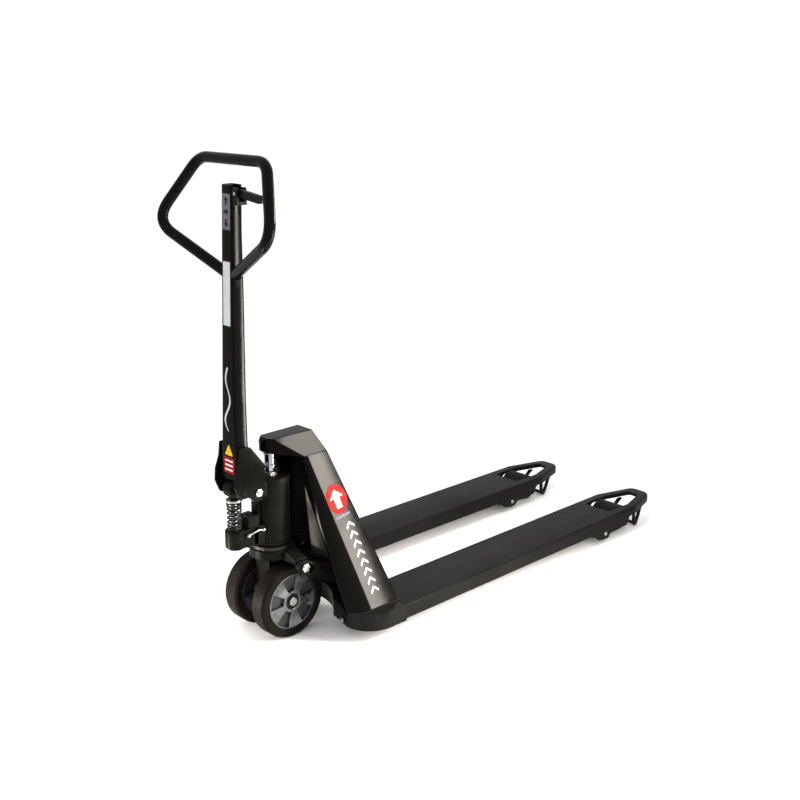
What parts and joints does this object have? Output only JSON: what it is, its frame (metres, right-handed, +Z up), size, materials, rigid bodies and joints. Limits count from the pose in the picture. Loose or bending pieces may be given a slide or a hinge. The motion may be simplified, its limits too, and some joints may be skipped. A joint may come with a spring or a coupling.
{
  "type": "hand pallet truck",
  "caption": "Hydraulic hand pallet truck: two forks on an A-frame, tandem steering wheels, a pump worked by a tiller with a hand loop, and load wheels that swing down.",
  "frame": {"origin": "on the floor under the middle of the bounding box", "axes": "+X towards the fork tips, +Y to the truck's left, +Z up"},
  "size_m": [1.5312, 0.54, 1.2376],
  "materials": {
    "satin_black_paint": "satin",
    "gloss_black_paint": "gloss",
    "loop_coating": "satin",
    "casting": "satin",
    "zinc_plate": "satin",
    "spring_steel": "satin",
    "bright_steel": "satin",
    "chrome_plate": "gloss",
    "hub_aluminium": "satin",
    "wheel_tyre": "matte",
    "black_plastic": "satin"
  },
  "bodies": {
    "pump_unit": {"pump_base": "casting", "pump_reservoir": "casting", "gland_nut": "zinc_plate", "filler_plug": "zinc_plate", "steer_axle": "bright_steel", "tiller_mount": "casting", "tiller_pivot_pin": "zinc_plate"},
    "ram": {"lift_ram": "chrome_plate"},
    "chassis": {"fork_left": "satin_black_paint", "fork_right": "satin_black_paint", "entry_skid_left": "satin_black_paint", "entry_skid_right": "satin_black_paint", "leg_left": "gloss_black_paint", "leg_right": "gloss_black_paint", "wheel_frame_shaft_left": "zinc_plate", "wheel_frame_shaft_right": "zinc_plate", "base": "satin_black_paint", "front_plate": "gloss_black_paint", "head_hood": "gloss_black_paint", "ram_seat": "bright_steel", "rocker_shaft": "bright_steel"},
    "collar": {"thrust_collar": "casting", "thrust_bearing": "bright_steel", "trunnion_pin_left": "zinc_plate", "trunnion_pin_right": "zinc_plate"},
    "rocker": {"rocker": "satin_black_paint"},
    "tiller": {"tiller_tube": "gloss_black_paint", "tiller_bracket_left": "gloss_black_paint", "tiller_bracket_right": "gloss_black_paint", "tiller_roller": "bright_steel", "roller_pin": "zinc_plate", "handle_loop": "loop_coating", "lever_bracket": "black_plastic", "lever_pin": "zinc_plate"},
    "control_lever": {"control_lever": "black_plastic"},
    "control_rod": {"control_rod": "bright_steel"},
    "valve_arm": {"valve_arm": "zinc_plate"},
    "plunger": {"plunger": "chrome_plate", "spring_cap": "zinc_plate", "pump_spring": "spring_steel"},
    "steer_wheel_left": {"steer_hub_left": "hub_aluminium", "steer_tyre_left": "wheel_tyre", "outer_bearing_left": "bright_steel", "inner_bearing_left": "bright_steel"},
    "push_rod_left": {"push_rod_left": "satin_black_paint"},
    "wheel_frame_left": {"wheel_frame_left": "satin_black_paint", "load_axle_left": "zinc_plate", "push_pin_left": "zinc_plate"},
    "load_wheel_left": {"load_wheel_core_left": "bright_steel", "load_wheel_tyre_left": "wheel_tyre"},
    "steer_wheel_right": {"steer_hub_right": "hub_aluminium", "steer_tyre_right": "wheel_tyre", "outer_bearing_right": "bright_steel", "inner_bearing_right": "bright_steel"},
    "push_rod_right": {"push_rod_right": "satin_black_paint"},
    "wheel_frame_right": {"wheel_frame_right": "satin_black_paint", "load_axle_right": "zinc_plate", "push_pin_right": "zinc_plate"},
    "load_wheel_right": {"load_wheel_core_right": "bright_steel", "load_wheel_tyre_right": "wheel_tyre"}
  },
  "joints": [
    {"name": "lift", "type": "slide", "parent": "pump_unit", "child": "ram", "axis": [0, 0, 1], "range_m": [0, 0.115]},
    {"name": "steer", "type": "hinge", "parent": "ram", "child": "chassis", "pos_m": [-0.6105, 0, 0.5], "axis": [0, 0, 1], "range_deg": [-75, 75]},
    {"name": "collar_turn", "type": "hinge", "parent": "pump_unit", "child": "collar", "pos_m": [-0.6105, 0, 0.225], "axis": [0, 0, 1], "range_deg": [-75, 75]},
    {"name": "rocker_turn", "type": "hinge", "parent": "chassis", "child": "rocker", "pos_m": [-0.4345, 0, 0.12], "axis": [0, -1, 0], "range_deg": [0, 37]},
    {"name": "tiller_swing", "type": "hinge", "parent": "pump_unit", "child": "tiller", "pos_m": [-0.6805, 0, 0.408], "axis": [0, -1, 0], "range_deg": [0, 60], "stiffness_Nm_per_rad": 40, "springref_deg": -20.05},
    {"name": "plunger_stroke", "type": "slide", "parent": "pump_unit", "child": "plunger", "axis": [0, 0, -1], "range_m": [0, 0.0435], "deforming": ["pump_spring"]},
    {"name": "lever_squeeze", "type": "hinge", "parent": "tiller", "child": "control_lever", "pos_m": [-0.6945, -0.032, 1.149], "axis": [-1, 0, 0], "range_deg": [0, 25], "stiffness_Nm_per_rad": 2, "springref_deg": -17.19},
    {"name": "rod_travel", "type": "slide", "parent": "tiller", "child": "control_rod", "axis": [-0.0316, 0, -0.9995], "range_m": [0, 0.01]},
    {"name": "valve_turn", "type": "hinge", "parent": "pump_unit", "child": "valve_arm", "pos_m": [-0.6605, -0.033, 0.3], "axis": [0, -1, 0], "range_deg": [0, 13]},
    {"name": "steer_wheel_spin_left", "type": "hinge", "parent": "pump_unit", "child": "steer_wheel_left", "pos_m": [-0.6105, 0.058, 0.1], "axis": [0, 1, 0], "continuous": true},
    {"name": "push_rod_turn_left", "type": "hinge", "parent": "rocker", "child": "push_rod_left", "pos_m": [-0.4518, 0.1925, 0.0678], "axis": [0, -1, 0], "range_deg": [-37, 0]},
    {"name": "wheel_frame_turn_left", "type": "hinge", "parent": "chassis", "child": "wheel_frame_left", "pos_m": [0.4825, 0.1925, 0.03], "axis": [0, 1, 0], "range_deg": [0, 68]},
    {"name": "load_wheel_spin_left", "type": "hinge", "parent": "wheel_frame_left", "child": "load_wheel_left", "pos_m": [0.5995, 0.1925, 0.041], "axis": [0, 1, 0], "continuous": true},
    {"name": "steer_wheel_spin_right", "type": "hinge", "parent": "pump_unit", "child": "steer_wheel_right", "pos_m": [-0.6105, -0.058, 0.1], "axis": [0, 1, 0], "continuous": true},
    {"name": "push_rod_turn_right", "type": "hinge", "parent": "rocker", "child": "push_rod_right", "pos_m": [-0.4518, -0.1925, 0.0678], "axis": [0, -1, 0], "range_deg": [-37, 0]},
    {"name": "wheel_frame_turn_right", "type": "hinge", "parent": "chassis", "child": "wheel_frame_right", "pos_m": [0.4825, -0.1925, 0.03], "axis": [0, 1, 0], "range_deg": [0, 68]},
    {"name": "load_wheel_spin_right", "type": "hinge", "parent": "wheel_frame_right", "child": "load_wheel_right", "pos_m": [0.5995, -0.1925, 0.041], "axis": [0, 1, 0], "continuous": true}
  ],
  "couplings": [
    {"joint": "collar_turn", "follows": "steer", "ratio": 1},
    {"joint": "rocker_turn", "follows": "lift", "rad_per_m": 5.55},
    {"joint": "plunger_stroke", "follows": "tiller_swing", "m_per_rad": 0.0415},
    {"joint": "rod_travel", "follows": "lever_squeeze", "m_per_rad": 0.0224},
    {"joint": "valve_turn", "follows": "lever_squeeze", "ratio": 0.5},
    {"joint": "push_rod_turn_left", "follows": "lift", "rad_per_m": -5.55},
    {"joint": "wheel_frame_turn_left", "follows": "lift", "rad_per_m": 10.27},
    {"joint": "push_rod_turn_right", "follows": "lift", "rad_per_m": -5.55},
    {"joint": "wheel_frame_turn_right", "follows": "lift", "rad_per_m": 10.27}
  ]
}
